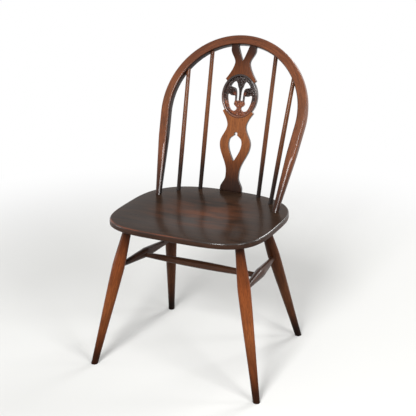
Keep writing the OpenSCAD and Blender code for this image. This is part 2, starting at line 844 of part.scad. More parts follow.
module splat() {
    color("#7f4a34") set_back() {
        difference() {
            in_splat() splat_body();
            below(seat_height);
            in_bow()
                translate([0, bow_centre_rise, 0])
                    rotate_extrude(angle = 180)
                        translate([bow_inner_radius, -bow_thickness])
                            square([2 * bow_thickness, 2 * bow_thickness]);
            in_splat() both_sides() {
                translate([0, 0, -splat_thickness])
                    linear_extrude(2 * splat_thickness) {
                        flower(smooth_loop(upper_opening));
                        flower(smooth_loop(lower_opening));
                    }
                for (line = vein_lines) vein(line[0], line[1], vein_width);
            }
        }
        splat_foot_tenon(0, spare);
        for (side = [left, right]) horn_tenon(side);
    }
}

seat();
front_leg(left);  // leg_front_left
front_leg(right);  // leg_front_right
back_leg(left);  // leg_back_left
back_leg(right);  // leg_back_right
side_stretcher(left);  // stretcher_left
side_stretcher(right);  // stretcher_right
stretcher_cross();
bow();
stick(outer_stick_foot(left), outer_stick_top(left));  // stick_left_outer
stick(inner_stick_foot(left), inner_stick_top(left));  // stick_left_inner
stick(inner_stick_foot(right), inner_stick_top(right));  // stick_right_inner
stick(outer_stick_foot(right), outer_stick_top(right));  // stick_right_outer
splat();
leg_wedges();
bow_wedges();
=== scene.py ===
from math import sin, cos, asin, atan, pi, radians, sqrt
import bpy
import bmesh
from mathutils import Matrix, Vector


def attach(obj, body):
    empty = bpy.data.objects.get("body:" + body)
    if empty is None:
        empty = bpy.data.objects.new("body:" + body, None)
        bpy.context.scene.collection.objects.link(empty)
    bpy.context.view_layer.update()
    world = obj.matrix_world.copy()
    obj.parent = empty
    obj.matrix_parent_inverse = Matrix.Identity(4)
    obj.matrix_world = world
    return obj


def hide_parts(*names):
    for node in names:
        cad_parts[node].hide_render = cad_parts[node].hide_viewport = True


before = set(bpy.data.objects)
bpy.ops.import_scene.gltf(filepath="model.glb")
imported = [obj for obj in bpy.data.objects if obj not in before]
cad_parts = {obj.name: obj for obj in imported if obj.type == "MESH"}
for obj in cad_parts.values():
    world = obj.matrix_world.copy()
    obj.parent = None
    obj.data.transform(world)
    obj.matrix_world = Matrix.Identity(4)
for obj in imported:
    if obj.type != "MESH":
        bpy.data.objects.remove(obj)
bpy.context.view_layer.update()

mm = 0.001
samePoint = 1e-6  # points nearer to each other than this are one
print("chair loaded,", len(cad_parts), "pieces")


# sRGB hex to the linear colour that the shaders want
def stainColour(hexText):
    parts = [int(hexText[i:i + 2], 16) / 255 for i in (1, 3, 5)]
    return [p / 12.92 if p <= 0.04045 else ((p + 0.055) / 1.055) ** 2.4 for p in parts] + [1]


# A neutral shade between black at 0 and white at 1
def grey(share):
    return (share, share, share, 1)


def clamped(share):
    return max(0, min(1, share))


# Adds one shader node, sets its options and a ramp's stops, and feeds its inputs with values or links
def addNode(tree, kind, inputs=None, stops=(), **options):
    node = tree.nodes.new("ShaderNode" + kind)
    for name, value in options.items():
        setattr(node, name, value)
    for key, value in (inputs or {}).items():
        if isinstance(value, bpy.types.NodeSocket):
            tree.links.new(value, node.inputs[key])
        else:
            node.inputs[key].default_value = value
    if stops:
        held = node.color_ramp.elements
        while len(held) < len(stops):
            held.new(0.5)
        for stop, (place, colour) in zip(held, stops):
            stop.position = place
            stop.color = colour
    return node


def addObject(name, data):
    added = bpy.data.objects.new(name, data)
    bpy.context.scene.collection.objects.link(added)
    return added


# Puts one axis of a thing at a place along a direction
def facing(place, direction, axis="Z"):
    return Matrix.Translation(place) @ direction.to_track_quat(axis, "Y").to_matrix().to_4x4()


# Camera, at the place from which the photo was taken
camera = {
    "place": (1.0985, -2.33029, 1.3573),
    "aim": (0.00855, -0.03383, 0.4472),
    "roll": radians(-0.1511),
    "focal": 955.31, "picture": 416,  # the focal length and the picture's width, in pixels
}
lens = bpy.data.cameras.new("photoLens")
lens.lens = camera["focal"] / camera["picture"] * lens.sensor_width
photographer = addObject("photographer", lens)
sight = Vector(camera["aim"]) - Vector(camera["place"])
photographer.matrix_world = facing(camera["place"], sight, "-Z") @ Matrix.Rotation(camera["roll"], 4, "Z")
bpy.context.scene.camera = photographer

# Studio: a pale floor that fades to white, white surroundings and six soft lamps
studio = {
    "floorColour": "#DEDEDC",
    "floorBounce": "#8E8E8C",  # what the floor throws back up on to the chair
    "floorFade": (0.8, 1.9),  # the floor turns white between these distances from the chair
    "floorSize": 14, "roomLight": 0.14, "lampAim": (0, 0, 0.45),
}
lamps = {
    "frontLamp": dict(place=(0.25, -2.6, 2.15), size=(0.85, 0.85), power=72),
    "rightLamp": dict(place=(2.6, -1.3, 2.1), size=(1.2, 1.2), power=40),
    "edgeLamp": dict(place=(2.3, 1.1, 1.3), size=(0.5, 1.3), power=16),
    "backLamp": dict(place=(1.0, 2.6, 2.4), size=(1.2, 1.0), power=66),
    "lowLamp": dict(place=(-2.3, -1.1, 0.5), size=(0.9, 0.8), power=12),
    "topLamp": dict(place=(0.1, -0.2, 3.2), size=(2.4, 2.4), power=12),
}


def hangLamp(name, place, size, power):
    data = bpy.data.lights.new(name, "AREA")
    data.shape = "RECTANGLE"
    data.size, data.size_y = size
    data.energy = power
    addObject(name, data).matrix_world = facing(place, Vector(place) - Vector(studio["lampAim"]))


for lampName, lampValues in lamps.items():
    hangLamp(lampName, **lampValues)


# Where the camera sees a place straight on, or in varnish, metal or glass
def seenStraight(tree):
    path = addNode(tree, "LightPath")
    mirroredRay = addNode(tree, "Math", {
        0: path.outputs["Is Glossy Ray"], 1: path.outputs["Is Transmission Ray"]}, operation="MAXIMUM")
    return addNode(tree, "Math", {
        0: path.outputs["Is Camera Ray"], 1: mirroredRay.outputs[0]}, operation="MAXIMUM").outputs[0]


surroundings = bpy.data.worlds.new("whiteSurroundings")
bpy.context.scene.world = surroundings
surroundings.use_nodes = True
skyTree = surroundings.node_tree
skyTree.nodes.clear()
roomLight = addNode(skyTree, "Background", {"Color": grey(1), "Strength": studio["roomLight"]})
wallLight = addNode(skyTree, "Background", {"Color": grey(1), "Strength": 1.0})
eitherLight = addNode(skyTree, "MixShader", {
    0: seenStraight(skyTree), 1: roomLight.outputs[0], 2: wallLight.outputs[0]})
addNode(skyTree, "OutputWorld", {"Surface": eitherLight.outputs[0]})

floorShape = bmesh.new()
bmesh.ops.create_grid(floorShape, x_segments=1, y_segments=1, size=studio["floorSize"])
floorMesh = bpy.data.meshes.new("studioFloor")
floorShape.to_mesh(floorMesh)
floorShape.free()
studioFloor = addObject("studioFloor", floorMesh)

# Matt paint, pale where it is seen and darker in what it throws back, glowing white far from the chair
floorPaint = bpy.data.materials.new("mattFloorPaint")
floorPaint.use_nodes = True
floorTree = floorPaint.node_tree
floorTree.nodes.clear()
fromChair = addNode(floorTree, "VectorMath", {
    0: addNode(floorTree, "TexCoord").outputs["Object"]}, operation="LENGTH").outputs["Value"]
faded = addNode(floorTree, "MapRange", {
    "Value": fromChair, "From Min": studio["floorFade"][0], "From Max": studio["floorFade"][1]},
    interpolation_type="SMOOTHSTEP").outputs[0]
straight = seenStraight(floorTree)
floorColour = addNode(floorTree, "Mix", {
    0: straight, 6: stainColour(studio["floorBounce"]), 7: stainColour(studio["floorColour"])},
    data_type="RGBA").outputs[2]
paint = addNode(floorTree, "BsdfDiffuse", {"Color": floorColour, "Roughness": 0.6})
glow = addNode(floorTree, "Emission", {"Color": grey(1), "Strength": 1.0})
seenWhite = addNode(floorTree, "Math", {0: faded, 1: straight}, operation="MULTIPLY").outputs[0]
paintOrGlow = addNode(floorTree, "MixShader", {
    0: seenWhite, 1: paint.outputs[0], 2: glow.outputs[0]})
addNode(floorTree, "OutputMaterial", {"Surface": paintOrGlow.outputs[0]})
floorMesh.materials.append(floorPaint)
bpy.context.scene.view_settings.view_transform = "Standard"
print("studio ready")


# Eases from 0 to 1 with a level start and end
def eased(share):
    return (1 - cos(pi * share)) / 2


# Part straight taper, part eased
def blended(share, curve):
    return (1 - curve) * share + curve * eased(share)


def between(start, end, share):
    return start + (end - start) * share


def atHeight(start, end, height):
    return between(start, end, (height - start.z) / (end.z - start.z))


# Remembers where each point lies in its length of timber, with the grain along Z. Each piece has its
# own seed, so that no two look alike.
def markGrain(bm, seed, shift):
    grain = bm.verts.layers.float_vector.new("grain")
    for v in bm.verts:
        v[grain] = v.co + Vector([seed * part for part in shift])


# Spins a profile of (radius, height) pairs, as on a lathe
def turn(profile, steps=48):
    bm = bmesh.new()
    points = [bm.verts.new((radius, 0, height)) for radius, height in profile]
    lines = [bm.edges.new(pair) for pair in zip(points, points[1:])]
    bmesh.ops.spin(bm, geom=points + lines, cent=(0, 0, 0), axis=(0, 0, 1),
                   angle=2 * pi, steps=steps, use_merge=True)
    bmesh.ops.remove_doubles(bm, verts=bm.verts, dist=samePoint)
    bmesh.ops.recalc_face_normals(bm, faces=bm.faces)
    return bm


# The profile of a taper between two (diameter, height) pairs, without its first point
def taper(start, end, curve, steps):
    profile = []
    for k in range(1, steps + 1):
        share = k / steps
        profile.append((between(start[0], end[0], blended(share, curve)) / 2,
                        between(start[1], end[1], share)))
    return profile


# Draws the first ring of points, extrudes it through the others, and closes both ends or joins them
def loft(rings, joined=False):
    bm = bmesh.new()
    order = bm.verts.layers.int.new("order")
    count = len(rings[0])
    ring = [bm.verts.new(p) for p in rings[0]]
    for i, v in enumerate(ring):
        v[order] = i
    firstLines = [bm.edges.new((ring[i], ring[(i + 1) % count])) for i in range(count)]
    if not joined:
        bmesh.ops.contextual_create(bm, geom=firstLines)
    lines = firstLines
    for points in rings[1:]:
        grown = bmesh.ops.extrude_edge_only(bm, edges=lines)["geom"]
        lines = [g for g in grown if isinstance(g, bmesh.types.BMEdge)]
        for v in grown:
            if isinstance(v, bmesh.types.BMVert):
                v.co = points[v[order]]
    if joined:
        bmesh.ops.bridge_loops(bm, edges=firstLines + lines)
    else:
        bmesh.ops.contextual_create(bm, geom=lines)
    bmesh.ops.recalc_face_normals(bm, faces=bm.faces)
    return bm


# Saws off what lies below a height, and gives the edges of the cut
def sawLevel(bm, height):
    cut = bmesh.ops.bisect_plane(bm, geom=bm.verts[:] + bm.edges[:] + bm.faces[:], dist=samePoint,
                                 plane_co=(0, 0, height), plane_no=(0, 0, 1), clear_inner=True)
    return [e for e in cut["geom_cut"] if isinstance(e, bmesh.types.BMEdge)]


# Saws level what comes through the seat on the left and on the right, and closes both ends
def sawPairLevel(bm, height):
    ends = sawLevel(bm, height)
    for side in (-1, 1):
        bmesh.ops.contextual_create(bm, geom=[e for e in ends if e.verts[0].co.x * side > 0])
    bmesh.ops.recalc_face_normals(bm, faces=bm.faces)


# Makes a finished piece of timber: it stands for its CAD nodes and rides with the chair
def makePiece(name, bm, materials, nodes, crease=38):
    mesh = bpy.data.meshes.new(name)
    limit = radians(crease)
    for face in bm.faces:
        face.smooth = True
    for edge in bm.edges:
        edge.smooth = not (edge.is_manifold and edge.calc_face_angle() > limit)
    bm.to_mesh(mesh)
    bm.free()
    piece = addObject(name, mesh)
    for material in materials:
        mesh.materials.append(material)
    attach(piece, "root")
    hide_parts(*nodes)


# What all timber shares. Patterns are in repeats a metre: across, through and along the grain.
timber = {
    "streakLength": 22,  # in widths of a streak
    "pores": (1100, 1100, 95),  # under a millimetre wide
    "patches": (28, 28, 9),  # in the stain, about 35 mm across
    "punchMarks": (290, 290, 290),  # drawn larger than real, 3.5 mm apart
    "streakRelief": 0.0004, "punchRelief": 0.0016,
    "glossSpread": 0.14, "wornDullness": 0.25, "varnishRoughness": 0.16,
    "rubbedReach": (0.0025, 0.007),  # a rubbed tip is bare as far as this and fully toned past this
}


# A pattern in the wood, with so many repeats a metre along each axis
def woodPattern(tree, place, repeats, detail, roughness=0.5):
    mapped = addNode(tree, "Mapping", {"Vector": place, "Scale": repeats}).outputs[0]
    return addNode(tree, "TexNoise", {
        "Vector": mapped, "Scale": 1.0, "Detail": detail, "Roughness": roughness}).outputs["Fac"]


# How bare the wood is round a rubbed point, on either side of the chair
def rubbedNear(tree, point):
    eitherSide = addNode(tree, "VectorMath", {
        0: addNode(tree, "TexCoord").outputs["Object"]}, operation="ABSOLUTE").outputs[0]
    away = addNode(tree, "VectorMath", {
        0: eitherSide, 1: point}, operation="DISTANCE").outputs["Value"]
    bare, toned = timber["rubbedReach"]
    return addNode(tree, "MapRange", {
        "Value": away, "From Min": toned, "From Max": bare}).outputs[0]


# The colour of the toner, and of painted shade where a piece is darkened for shade, between two heights
# or along an attribute of the piece
def tonerAndShadeRamp(tree, source, stops):
    if isinstance(source, str):
        share = addNode(tree, "Attribute", attribute_name=source).outputs["Fac"]
    else:
        place = addNode(tree, "TexCoord").outputs["Object"]
        height = addNode(tree, "SeparateXYZ", {0: place}).outputs["Z"]
        share = addNode(tree, "MapRange", {
            "Value": height, "From Min": source[0], "From Max": source[1]}).outputs[0]
    return addNode(tree, "ValToRGB", {0: share}, [(at, stainColour(tone)) for at, tone in stops])


# Hardwood, stained and toned, then sprayed with a satin varnish. The eye sees fine dark streaks along
# the grain, soft patches in the stain, and sprayed-on shading that goes nearly black at the ends.
# Worn places show redder wood, and rubbed tips have lost their toner. Recesses are darkened by toner and
# painted shade, the bow's inner face by painted shade.
def stainedHardwood(name, light, dark, shading, streak=2.2, patch=0.25, pore=0.3, gloss=0.3, coat=0.3,
                    shine=0.25, grainDepth=0.12, worn=None, punched=0, paintedShadeAndToner=None, rubbed=None,
                    rimCoat=None):
    material = bpy.data.materials.new(name)
    material.use_nodes = True
    tree = material.node_tree
    tree.nodes.clear()
    grain = addNode(tree, "Attribute", attribute_name="grain").outputs["Vector"]
    across = 1 / (streak * mm)  # streaks are drawn coarser than real, so that they show
    streaks = woodPattern(tree, grain, (across, across, across / timber["streakLength"]), 4.0, 0.62)
    pores = woodPattern(tree, grain, timber["pores"], 1.0)
    patches = woodPattern(tree, grain, timber["patches"], 2.0)
    wood = addNode(tree, "Mix", {
        0: addNode(tree, "ValToRGB", {0: streaks}, [(0.32, grey(0)), (0.68, grey(1))]).outputs[0],
        6: stainColour(dark), 7: stainColour(light)}, data_type="RGBA").outputs[2]

    # Layers of colour over the bare wood, each with its strength and how it goes on
    layers = []
    if worn:
        wear = addNode(tree, "Attribute", attribute_name="wear").outputs["Fac"]
        patchy = addNode(tree, "MapRange", {
            "Value": patches, "From Min": 0.38, "From Max": 0.62}).outputs[0]
        wear = addNode(tree, "Math", {0: wear, 1: patchy}, operation="MULTIPLY").outputs[0]
        layers.append((wear, stainColour(worn), "MIX"))
    shades = [
        addNode(tree, "ValToRGB", {0: pores}, [(0.34, grey(1 - pore)), (0.46, grey(1))]),
        addNode(tree, "ValToRGB", {0: patches}, [(0.3, grey(1 - patch)), (0.62, grey(1))]),
        tonerAndShadeRamp(tree, *shading)]
    layers += [(1.0, shade.outputs[0], "MULTIPLY") for shade in shades]
    # toner and painted shade in grooves, and painted shade on the bow's inner face
    if paintedShadeAndToner:
        shadeAndTonerShare = addNode(tree, "Attribute", attribute_name="paintedShadeAndToner").outputs["Fac"]
        layers.append((shadeAndTonerShare, stainColour(paintedShadeAndToner), "MULTIPLY"))
    if rubbed:
        colour, point = rubbed
        layers.append((rubbedNear(tree, point), stainColour(colour), "MIX"))
    if punched:
        marks = woodPattern(tree, grain, timber["punchMarks"], 2.0)
        # darker colour in the punch marks' dips: painted shade, with toner held there
        flecks = addNode(tree, "ValToRGB", {0: marks}, [
            (0.36, stainColour("#545050")), (0.46, stainColour("#C8C4C2")), (0.55, grey(1))])
        layers.append((1.0, flecks.outputs[0], "MULTIPLY"))
    for strength, colour, goesOn in layers:
        wood = addNode(tree, "Mix", {0: strength, 6: wood, 7: colour},
                       data_type="RGBA", blend_type=goesOn).outputs[2]

    rough = addNode(tree, "MapRange", {
        "Value": patches, "To Min": gloss, "To Max": gloss + timber["glossSpread"]}).outputs[0]
    if worn:
        rough = addNode(tree, "Math", {
            0: wear, 1: timber["wornDullness"], 2: rough}, operation="MULTIPLY_ADD").outputs[0]
    bump = addNode(tree, "Bump", {
        "Strength": grainDepth, "Distance": timber["streakRelief"], "Height": streaks})
    if punched:
        bump = addNode(tree, "Bump", {
            "Strength": punched, "Distance": timber["punchRelief"], "Height": marks,
            "Normal": bump.outputs[0]})
    shader = addNode(tree, "BsdfPrincipled", {
        "Base Color": wood, "Roughness": rough, "IOR": 1.5, "Specular IOR Level": shine,
        "Coat Weight": coat, "Coat Roughness": timber["varnishRoughness"],
        "Normal": bump.outputs[0], "Coat Normal": bump.outputs[0]})
    if rimCoat:
        atRim = addNode(tree, "Attribute", attribute_name="edge").outputs["Fac"]
        thick = addNode(tree, "MapRange", {
            "Value": atRim, "From Min": 0.1, "From Max": 0.35, "To Min": coat, "To Max": rimCoat})
        tree.links.new(thick.outputs[0], shader.inputs["Coat Weight"])
    addNode(tree, "OutputMaterial", {"Surface": shader.outputs[0]})
    return material


# Sizes that several pieces share, in metres
shared = {
    "seatHeight": 0.441, "seatThickness": 0.026,
    "bowFootReach": 0.076, "bowRadius": 0.2135, "bowCentreRise": 0.270, "bowLean": radians(26.1),
    "bowFace": 0.0275, "bowThickness": 0.025, "bowEdge": 0.005,
    "shoulder": 0.003,  # a turned piece is straight for this far outside its hole
    "endGap": 0.0005,  # a piece ends this far short of the CAD solid's end
}
seatHeight = shared["seatHeight"]
seatBottom = seatHeight - shared["seatThickness"]
bowRadius, rise, lean = shared["bowRadius"], shared["bowCentreRise"], shared["bowLean"]
shoulder, endGap = shared["shoulder"], shared["endGap"]

seat = {
    "width": 0.466, "frontReach": 0.214, "backReach": 0.204, "wideLine": 0.0065,
    "frontSquareness": 3.85, "backSquareness": 2.74,
    "rim": 0.0045, "undercutDepth": 0.0095, "frontUndercut": 0.038, "sideUndercut": 0.028,
    "softEdge": 0.0015, "bevelSwelling": 1.25,
    "dishDepth": 0.008, "backDeck": 0.052, "sideDeck": 0.042, "frontDeck": 0.026,
    "sides": 192, "bevelSteps": 8, "rimSteps": 8, "dishRings": 26,
    "dishWear": 0.4, "rimWear": 1.8, "wornRing": 14.5, "wornSpread": 3.5,
    "wornFront": -0.08, "frontFade": 0.08, "wornRight": 0.1, "rightFade": 0.12,
    "edgeStart": 0.7,  # a face belongs to the edge where the edge attribute is above this
}

# The bow leans back past the feet, so the chair is moved to put the middle of its box over the origin
bowBack = (shared["bowFootReach"]
           + (rise + bowRadius + shared["bowFace"] / 2 - shared["bowEdge"]) * sin(lean)
           + (shared["bowThickness"] / 2 - shared["bowEdge"]) * cos(lean) + shared["bowEdge"])
backShift = (seat["wideLine"] + seat["frontReach"] - bowBack) / 2
moved = Vector((0, backShift, 0))


# The seat's plan at a height: one superellipse in front of its widest line and another behind it
def seatRing(sideInset, frontInset, backInset, height, share=1):
    ring = []
    for i in range(seat["sides"]):
        angle = 2 * pi * i / seat["sides"]
        toBack = angle < pi
        reach = seat["backReach"] - backInset if toBack else seat["frontReach"] - frontInset
        squareness = seat["backSquareness"] if toBack else seat["frontSquareness"]
        half = seat["width"] / 2 - sideInset
        radius = share / ((abs(cos(angle)) / half) ** squareness
                          + (abs(sin(angle)) / reach) ** squareness) ** (1 / squareness)
        ring.append((radius * cos(angle), radius * sin(angle) - seat["wideLine"] + backShift, height))
    return ring


seatRings = []
for k in range(seat["bevelSteps"] + 1):
    share = k / seat["bevelSteps"]
    side = between(seat["sideUndercut"], seat["softEdge"], share)
    front = between(seat["frontUndercut"], seat["softEdge"], share)
    seatRings.append(seatRing(side, front, side,
                              seatBottom + seat["undercutDepth"] * share ** seat["bevelSwelling"]))
rimStart = len(seatRings)  # the ring where the edge stands upright
seatRings.append(seatRing(0, 0, 0, seatBottom + seat["undercutDepth"] + seat["softEdge"]))
for k in range(seat["rimSteps"] + 1):
    angle = pi / 2 * k / seat["rimSteps"]
    inset = seat["rim"] * (1 - cos(angle))
    seatRings.append(seatRing(inset, inset, inset, seatHeight - seat["rim"] * (1 - sin(angle))))
dishStart = len(seatRings)  # the ring where the level deck ends and the dish begins
for k in range(seat["dishRings"], 0, -1):
    share = k / seat["dishRings"]
    seatRings.append(seatRing(seat["sideDeck"], seat["frontDeck"], seat["backDeck"],
                              seatHeight - seat["dishDepth"] * (1 - eased(share)), share))


# How far the finish is worn: a little in the dish, and more on the rim at the front and left
def seatWear(place, ringNumber):
    if ringNumber >= dishStart:
        return seat["dishWear"] * eased((ringNumber - dishStart) / seat["dishRings"])
    atFront = clamped((seat["wornFront"] - place.y) / seat["frontFade"])
    atLeft = clamped((seat["wornRight"] - place.x) / seat["rightFade"])
    onRim = max(0, 1 - abs(ringNumber - seat["wornRing"]) / seat["wornSpread"])
    return seat["rimWear"] * (atFront * atLeft) * onRim


seatShape = loft(seatRings)
seatGrain = seatShape.verts.layers.float_vector.new("grain")
seatEdge = seatShape.verts.layers.float.new("edge")
wornLayer = seatShape.verts.layers.float.new("wear")
seatShape.verts.ensure_lookup_table()
for i, v in enumerate(seatShape.verts):
    ringNumber = i // seat["sides"]
    v[seatGrain] = Vector((v.co.y, v.co.z, v.co.x))  # boards run from side to side
    v[seatEdge] = clamped((dishStart - 1 - ringNumber) / (dishStart - 1 - rimStart))
    v[wornLayer] = seatWear(v.co, ringNumber)
for face in seatShape.faces:
    face.material_index = int(min(v[seatEdge] for v in face.verts) > seat["edgeStart"])

# The plank: dark stain, worn redder where people sit and along the front edge, darker along its rim,
# under a satin varnish that mirrors the back
plankFinish = stainedHardwood(
    "stainedPlankSatinVarnish", "#3E2C21", "#281E17",
    ("edge", [(0.0, "#FFFFFF"), (0.35, "#D8CCC4"), (1.0, "#B8ACA4")]),
    streak=5, patch=0.3, pore=0.12, gloss=0.24, coat=0.14, shine=0.02, grainDepth=0.03, worn="#7C462C",
    rimCoat=0.9)
# The plank's edge below the rim, duller and a little lighter, darker towards the bottom of the undercut
plankEdgeFinish = stainedHardwood(
    "stainedPlankEdgeThinVarnish", "#4E362A", "#38281F",
    ((0.415, 0.437), [(0.0, "#A89C94"), (0.5, "#E0D6D0"), (1.0, "#FFFFFF")]),
    streak=4, patch=0.3, gloss=0.34, coat=0.05, shine=0.1, grainDepth=0.06, worn="#84482A")
makePiece("seatPlank", seatShape, [plankFinish, plankEdgeFinish], ["seat"], crease=42)
print("seat shaped")

legs = {
    # how far across from the chair's middle, and how far back of the middle of its feet
    "frontFoot": (0.254, -0.209), "frontTop": (0.168, -0.1365),
    "backFoot": (0.219, 0.209), "backTop": (0.1465, 0.077),
    "footDiameter": 0.0194, "swellDiameter": 0.0356, "swellHeight": 0.306,
    "topDiameter": 0.024, "intoSeat": 0.017, "steps": 40,
    "footCurve": 0.4, "neckCurve": 0.5,  # how much of each taper is eased
    "buried": 0.02,  # turned this much longer, then cut level with the floor
    "soleEdge": 0.0008, "grainShift": (0.31, 0.17, 0.53), "frontSeed": 2, "backSeed": 5,
}


# The middle of a leg's foot on the floor and of its top under the seat
def legEnds(row, side):
    return [Vector((side * legs[row + end][0], legs[row + end][1], height)) + moved
            for end, height in (("Foot", 0), ("Top", seatBottom))]


def turnedLeg(name, node, foot, top, finish, seed):
    length = (top - foot).length
    neck = length - legs["topDiameter"] / 2 * (top - foot).xy.length / seatBottom - shoulder
    swell = (legs["swellDiameter"], legs["swellHeight"])
    profile = [(0, -legs["buried"]), (legs["footDiameter"] / 2, -legs["buried"])]
    profile += taper((legs["footDiameter"], 0), swell, legs["footCurve"], legs["steps"])
    profile += taper(swell, (legs["topDiameter"], neck), legs["neckCurve"], legs["steps"] // 2)
    end = length + legs["intoSeat"] - endGap
    profile += [(legs["topDiameter"] / 2, end), (0, end)]
    bm = turn(profile)
    markGrain(bm, seed, legs["grainShift"])
    bm.transform(facing(foot, top - foot))
    sole = sawLevel(bm, 0)
    bmesh.ops.contextual_create(bm, geom=sole)
    bmesh.ops.bevel(bm, geom=sole, offset=legs["soleEdge"], segments=2, profile=0.5,
                    affect="EDGES", material=-1)
    bmesh.ops.recalc_face_normals(bm, faces=bm.faces)
    makePiece(name, bm, [finish], [node])


# Leg timber, toned nearly black at the feet and dark under the seat. The back legs are darker throughout:
# painted shade, for the seat's shadow over them.
frontLegFinish = stainedHardwood(
    "tonedLegSatinVarnish", "#A65F33", "#784325",
    ((0.0, 0.42), [(0.0, "#5A5656"), (0.07, "#686262"), (0.2, "#C8BEB8"), (0.42, "#FFFFFF"),
                   (0.72, "#F0E2D8"), (0.9, "#B0A49C"), (1.0, "#746A66")]), coat=0.14, shine=0.03)
shadedBackLegFinish = stainedHardwood(
    "shadedBackLegSatinVarnish", "#7A4A2D", "#543220",
    ((0.0, 0.42), [(0.0, "#504A4A"), (0.07, "#585050"), (0.2, "#C8BEB8"), (0.42, "#FFFFFF"),
                   (0.72, "#E8DCD2"), (0.9, "#948880"), (1.0, "#605650")]), coat=0.14, shine=0.03)
bothSides = (("left", -1), ("right", 1))
for sideName, side in bothSides:
    for row, finish in (("front", frontLegFinish), ("back", shadedBackLegFinish)):
        turnedLeg("leg" + row.title() + sideName.title(), "leg_" + row + "_" + sideName,
                  *legEnds(row, side), finish, side + legs[row + "Seed"])
print("legs turned")

rails = {
    "frontHeight": 0.296, "backHeight": 0.284,
    "sideSwell": 0.029, "sideEnd": 0.014, "sideSwelling": 1,
    "crossSwell": 0.0225, "crossEnd": 0.0145, "crossSwelling": 1.8,
    "crossForward": 0.012, "crossDrop": 0.003, "stop": 0.0018, "steps": 16, "sides": 40,
    "grainShift": (0.23, 0.41, 0.67), "sideSeed": 3, "crossSeed": 7,
}


# A rail between two middle lines, thickest halfway. Entered is the thickness of what its ends go into.
def turnedRail(name, node, start, end, endDiameter, swellDiameter, swelling, entered, finish, seed):
    length = (end - start).length
    straight = entered / 2 + shoulder
    lowerHalf = []
    for k in range(rails["steps"] + 1):
        share = k / rails["steps"]
        width = swellDiameter - (swellDiameter - endDiameter) * (1 - share) ** swelling
        lowerHalf.append((width / 2, straight + (length / 2 - straight) * share))
    stop = rails["stop"]
    profile = [(0, stop), (endDiameter / 2, stop)] + lowerHalf
    profile += [(radius, length - height) for radius, height in reversed(lowerHalf[:-1])]
    profile += [(endDiameter / 2, length - stop), (0, length - stop)]
    bm = turn(profile, rails["sides"])
    markGrain(bm, seed, rails["grainShift"])
    bm.transform(facing(start, end - start))
    makePiece(name, bm, [finish], [node], crease=60)


# The ends of a side rail, and the place on it where the cross rail enters
def railPlaces(side):
    front, back = (atHeight(*legEnds(row, side), rails[row + "Height"]) for row in ("front", "back"))
    share = 0.5 - rails["crossForward"] / (back.y - front.y)
    return front, back, between(front, back, share) - Vector((0, 0, rails["crossDrop"]))


# Rails in the darkest stain, only a little warmer along the cross rail, and darker towards the bottom
railDarkerBelow = ((0.25, 0.32), [(0.0, "#C8C0BC"), (1.0, "#FFFFFF")])
sideRailFinish = stainedHardwood(
    "darkRailSatinVarnish", "#664636", "#452F26", railDarkerBelow,
    streak=2, patch=0.35, gloss=0.24, coat=0.25, shine=0.04)
crossRailFinish = stainedHardwood(
    "warmRailSatinVarnish", "#6E462E", "#483026", railDarkerBelow, streak=2, patch=0.35, coat=0.1, shine=0.15)
crossEnds = []
for sideName, side in bothSides:
    front, back, crossEnd = railPlaces(side)
    crossEnds.append(crossEnd)
    turnedRail("rail" + sideName.title(), "stretcher_" + sideName, front, back,
               rails["sideEnd"], rails["sideSwell"], rails["sideSwelling"],
               legs["swellDiameter"], sideRailFinish, side + rails["sideSeed"])
turnedRail("railCross", "stretcher_cross", *crossEnds,
           rails["crossEnd"], rails["crossSwell"], rails["crossSwelling"],
           rails["sideSwell"], crossRailFinish, rails["crossSeed"])
print("rails turned")

bow = {
    "footSpread": 0.186, "tenon": 0.018, "taper": 0.088, "footRun": 0.045,
    "archSteps": 96, "footSteps": 44, "cornerSteps": 7,
    "innerFace": 0.0105, "innerFade": 0.003,  # from the middle of the wood to the painted shade on the inner face
    "grainStart": 3, "proud": 0.0001,  # the feet end a hair proud of the plank, so that they show
}
footDistance = sqrt(bow["footSpread"] ** 2 + rise ** 2)
footAngle = asin(bowRadius / footDistance) - atan(bow["footSpread"] / rise)
footLength = sqrt(footDistance ** 2 - bowRadius ** 2)
archLength = bowRadius * (pi + 2 * footAngle)
footRound = bow["tenon"] / 2 * sin(lean) / cos(lean) + shoulder  # the foot is evenly round up to here
inBow = Matrix.Translation((0, shared["bowFootReach"] + backShift, seatHeight)) @ Matrix.Rotation(
    pi / 2 - lean, 4, "X")


# The bow's rounded-square section, pared to a round of the given radius where that is smaller
def bowSection(roundRadius=1):
    edge = shared["bowEdge"]
    cornerX = shared["bowFace"] / 2 - edge
    cornerY = shared["bowThickness"] / 2 - edge
    section = []
    for quarter, (sx, sy) in enumerate(((1, 1), (-1, 1), (-1, -1), (1, -1))):
        for k in range(bow["cornerSteps"] + 1):
            angle = pi / 2 * (quarter + k / bow["cornerSteps"])
            p = Vector((sx * cornerX + edge * cos(angle), sy * cornerY + edge * sin(angle)))
            if p.length > roundRadius:
                p *= roundRadius / p.length
            section.append(p)
    return section


# Rings down one foot of the bow and into the seat, each with its distance along the bow
def bowFootRings(side):
    rings = []
    for k in range(bow["footSteps"] + 1):
        above = footLength - (footLength + bow["footRun"]) * k / bow["footSteps"]
        taperRadius = (bow["tenon"] + bow["taper"] * max(0, above - footRound)) / 2
        ring = []
        for p in bowSection(taperRadius):
            local = Vector((side * bowRadius + p.x * side, -(footLength - above), p.y))
            turned = Matrix.Rotation(-side * footAngle, 4, "Z") @ local
            ring.append(turned + Vector((0, rise, 0)))
        rings.append((ring, archLength / 2 + footLength - above))
    return rings


